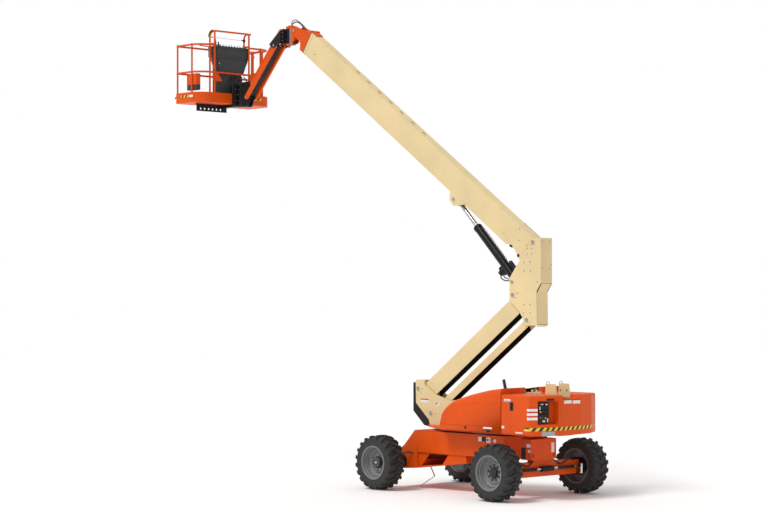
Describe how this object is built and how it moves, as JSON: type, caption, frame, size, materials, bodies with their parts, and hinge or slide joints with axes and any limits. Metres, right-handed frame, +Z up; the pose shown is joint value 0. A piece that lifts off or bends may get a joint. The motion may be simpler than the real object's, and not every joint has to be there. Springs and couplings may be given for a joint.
{
  "type": "telescopic boom lift with folding tower",
  "caption": "Self-propelled telescopic boom lift: folding two-link tower, telescoping main boom, side-swinging jib and rotating work platform",
  "frame": {"origin": "on the ground, midway between the axles on the centre line", "axes": "+X towards the work platform at rest, +Y to the machine's left, +Z up"},
  "size_m": [9.365, 2.42, 8.4293],
  "materials": {
    "orange_paint": "satin, lightly weathered",
    "cream_paint": "satin, lightly weathered",
    "black_paint": "semi-gloss",
    "rim_paint": "satin grey",
    "tyre_rubber": "matt, dusty",
    "bare_steel": "brushed",
    "polished_rod": "polished",
    "dark_casting": "rough, painted dark",
    "hose_rubber": "matt",
    "console_plastic": "fine grain"
  },
  "bodies": {
    "chassis": {"chassis_frame": "orange_paint", "swing_bearing": "dark_casting", "drive_axle": "black_paint", "steer_axle": "orange_paint", "steering_cylinder": "black_paint", "ground_strap": "hose_rubber"},
    "knuckle_left_body": {"knuckle_left": "black_paint"},
    "knuckle_right_body": {"knuckle_right": "black_paint"},
    "steering_rod_body": {"steering_rod": "polished_rod"},
    "turntable": {"turntable_deck": "orange_paint", "tower_base": "cream_paint", "front_cover": "black_paint", "counterweight": "orange_paint", "upright_guide_left": "cream_paint", "upright_guide_right": "cream_paint", "ground_controls": "black_paint", "engine_block": "dark_casting", "fluid_tank": "black_paint", "rest_fin": "hose_rubber"},
    "left_hood": {"hood_left": "orange_paint"},
    "right_hood": {"hood_right": "orange_paint"},
    "upper_link": {"tower_upper_link": "cream_paint"},
    "lower_link": {"tower_lower_link": "cream_paint"},
    "tower_barrel": {"tower_cylinder_barrel": "black_paint"},
    "tower_rod": {"tower_cylinder_rod": "polished_rod"},
    "upright_body": {"upright": "cream_paint"},
    "boom": {"main_boom": "cream_paint"},
    "lift_barrel": {"main_cylinder_barrel": "black_paint"},
    "lift_rod": {"main_cylinder_rod": "polished_rod"},
    "fly": {"fly_boom": "cream_paint", "fly_head": "orange_paint"},
    "bracket": {"level_bracket": "orange_paint", "hose_near": "hose_rubber", "hose_far": "hose_rubber"},
    "rotator": {"jib_rotator": "black_paint"},
    "jib_upper": {"jib_upper_link": "orange_paint", "jib_cylinder_barrel": "black_paint"},
    "jib_lower": {"jib_lower_link": "orange_paint"},
    "jib_rod": {"jib_cylinder_rod": "polished_rod"},
    "jib_end": {"jib_end_bracket": "black_paint"},
    "platform": {"platform_support": "black_paint", "platform_deck": "orange_paint", "guard_rails": "orange_paint", "console": "console_plastic", "document_box": "orange_paint"},
    "gate_body": {"gate": "orange_paint"},
    "wheel_drive_left": {"tyre_drive_left": "tyre_rubber", "rim_drive_left": "rim_paint", "hub_drive_left": "black_paint"},
    "wheel_drive_right": {"tyre_drive_right": "tyre_rubber", "rim_drive_right": "rim_paint", "hub_drive_right": "black_paint"},
    "wheel_steer_left": {"tyre_steer_left": "tyre_rubber", "rim_steer_left": "rim_paint", "hub_steer_left": "black_paint"},
    "wheel_steer_right": {"tyre_steer_right": "tyre_rubber", "rim_steer_right": "rim_paint", "hub_steer_right": "black_paint"}
  },
  "joints": [
    {"name": "steer_left", "type": "hinge", "parent": "chassis", "child": "knuckle_left_body", "pos_m": [-1.3675, 0.8795, 0.462], "axis": [0, 0, 1], "range_deg": [-35, 35]},
    {"name": "steer_right", "type": "hinge", "parent": "chassis", "child": "knuckle_right_body", "pos_m": [-1.3675, -0.8795, 0.462], "axis": [0, 0, 1], "range_deg": [-35.5, 35.5]},
    {"name": "steering_rod_slide", "type": "slide", "parent": "chassis", "child": "steering_rod_body", "axis": [0, 1, 0], "range_m": [-0.1, 0.1]},
    {"name": "wheel_spin_drive_left", "type": "hinge", "parent": "chassis", "child": "wheel_drive_left", "pos_m": [1.3675, 1.0345, 0.462], "axis": [0, 1, 0], "continuous": true},
    {"name": "wheel_spin_drive_right", "type": "hinge", "parent": "chassis", "child": "wheel_drive_right", "pos_m": [1.3675, -1.0345, 0.462], "axis": [0, 1, 0], "continuous": true},
    {"name": "wheel_spin_steer_left", "type": "hinge", "parent": "knuckle_left_body", "child": "wheel_steer_left", "pos_m": [-1.3675, 1.0345, 0.462], "axis": [0, 1, 0], "continuous": true},
    {"name": "wheel_spin_steer_right", "type": "hinge", "parent": "knuckle_right_body", "child": "wheel_steer_right", "pos_m": [-1.3675, -1.0345, 0.462], "axis": [0, 1, 0], "continuous": true},
    {"name": "turntable_swing", "type": "hinge", "parent": "chassis", "child": "turntable", "pos_m": [-0.45, 0, 1.0173], "axis": [0, 0, 1], "range_deg": [-180, 180]},
    {"name": "hood_left_hinge", "type": "hinge", "parent": "turntable", "child": "left_hood", "pos_m": [-1.12, 0.175, 1.728], "axis": [1, 0, 0], "range_deg": [0, 48]},
    {"name": "hood_right_hinge", "type": "hinge", "parent": "turntable", "child": "right_hood", "pos_m": [-1.12, -0.175, 1.728], "axis": [-1, 0, 0], "range_deg": [0, 48]},
    {"name": "tower_lift", "type": "hinge", "parent": "turntable", "child": "upper_link", "pos_m": [1.37, 0, 1.686], "axis": [0, 1, 0], "range_deg": [-37.2, 32.3]},
    {"name": "tower_lower_hinge", "type": "hinge", "parent": "turntable", "child": "lower_link", "pos_m": [1.054, 0, 1.276], "axis": [0, 1, 0], "range_deg": [-37.3, 32.4]},
    {"name": "upright_hinge", "type": "hinge", "parent": "upper_link", "child": "upright_body", "pos_m": [-0.88516, 0, 3.30649], "axis": [0, 1, 0], "range_deg": [-32.4, 37.3]},
    {"name": "tower_barrel_hinge", "type": "hinge", "parent": "upper_link", "child": "tower_barrel", "pos_m": [-0.63176, 0, 2.92739], "axis": [0, 1, 0], "range_deg": [-2.4, 2.1]},
    {"name": "tower_rod_slide", "type": "slide", "parent": "tower_barrel", "child": "tower_rod", "axis": [0.7887, 0, -0.6147], "range_m": [-0.1375, 0.1195]},
    {"name": "main_lift", "type": "hinge", "parent": "upright_body", "child": "boom", "pos_m": [-1.343, 0, 4.17], "axis": [0, -1, 0], "range_deg": [-34.9, 37.1]},
    {"name": "lift_barrel_hinge", "type": "hinge", "parent": "upright_body", "child": "lift_barrel", "pos_m": [-0.873, 0, 3.521], "axis": [0, -1, 0], "range_deg": [-32.6, 34.6]},
    {"name": "lift_rod_slide", "type": "slide", "parent": "lift_barrel", "child": "lift_rod", "axis": [0.7068, 0, 0.7075], "range_m": [-0.4515, 0.48]},
    {"name": "telescope", "type": "slide", "parent": "boom", "child": "fly", "axis": [0.8202, 0, 0.5721], "range_m": [0, 4.4]},
    {"name": "level_hinge", "type": "hinge", "parent": "fly", "child": "bracket", "pos_m": [4.73, 0, 8.2], "axis": [0, -1, 0], "range_deg": [-37.2, 35]},
    {"name": "jib_swing", "type": "hinge", "parent": "bracket", "child": "rotator", "pos_m": [4.99, 0, 8.124], "axis": [0, 0, 1], "range_deg": [-90, 90]},
    {"name": "jib_lift", "type": "hinge", "parent": "rotator", "child": "jib_upper", "pos_m": [5.164, 0, 8.23], "axis": [0, -1, 0], "range_deg": [-23, 122]},
    {"name": "jib_lower_hinge", "type": "hinge", "parent": "rotator", "child": "jib_lower", "pos_m": [5.275, 0, 7.971], "axis": [0, -1, 0], "range_deg": [-23.1, 122.1]},
    {"name": "jib_end_hinge", "type": "hinge", "parent": "jib_upper", "child": "jib_end", "pos_m": [6.00968, 0, 7.32312], "axis": [0, -1, 0], "range_deg": [-122.1, 23.1]},
    {"name": "jib_rod_slide", "type": "slide", "parent": "jib_upper", "child": "jib_rod", "axis": [-0.682, 0, 0.7314], "range_m": [-0.051, 0.269]},
    {"name": "platform_rotate", "type": "hinge", "parent": "jib_end", "child": "platform", "pos_m": [6.395, 0, 7.14], "axis": [0, 0, -1], "range_deg": [-90, 90]},
    {"name": "gate_hinge", "type": "hinge", "parent": "platform", "child": "gate_body", "pos_m": [7.156, -0.89, 7.6], "axis": [0, 0, -1], "range_deg": [0, 90]}
  ],
  "couplings": [
    {"joint": "steer_right", "follows": "steer_left", "ratio": 1},
    {"joint": "steering_rod_slide", "follows": "steer_left", "m_per_rad": -0.16},
    {"joint": "tower_lower_hinge", "follows": "tower_lift", "ratio": 1},
    {"joint": "upright_hinge", "follows": "tower_lift", "ratio": -1},
    {"joint": "tower_barrel_hinge", "follows": "tower_lift", "ratio": 0.06},
    {"joint": "tower_rod_slide", "follows": "tower_lift", "m_per_rad": 0.21},
    {"joint": "lift_barrel_hinge", "follows": "main_lift", "ratio": 0.93},
    {"joint": "lift_rod_slide", "follows": "main_lift", "m_per_rad": 0.74},
    {"joint": "level_hinge", "follows": "main_lift", "ratio": -1},
    {"joint": "jib_lower_hinge", "follows": "jib_lift", "ratio": 1},
    {"joint": "jib_end_hinge", "follows": "jib_lift", "ratio": -1},
    {"joint": "jib_rod_slide", "follows": "jib_lift", "m_per_rad": 0.126}
  ]
}
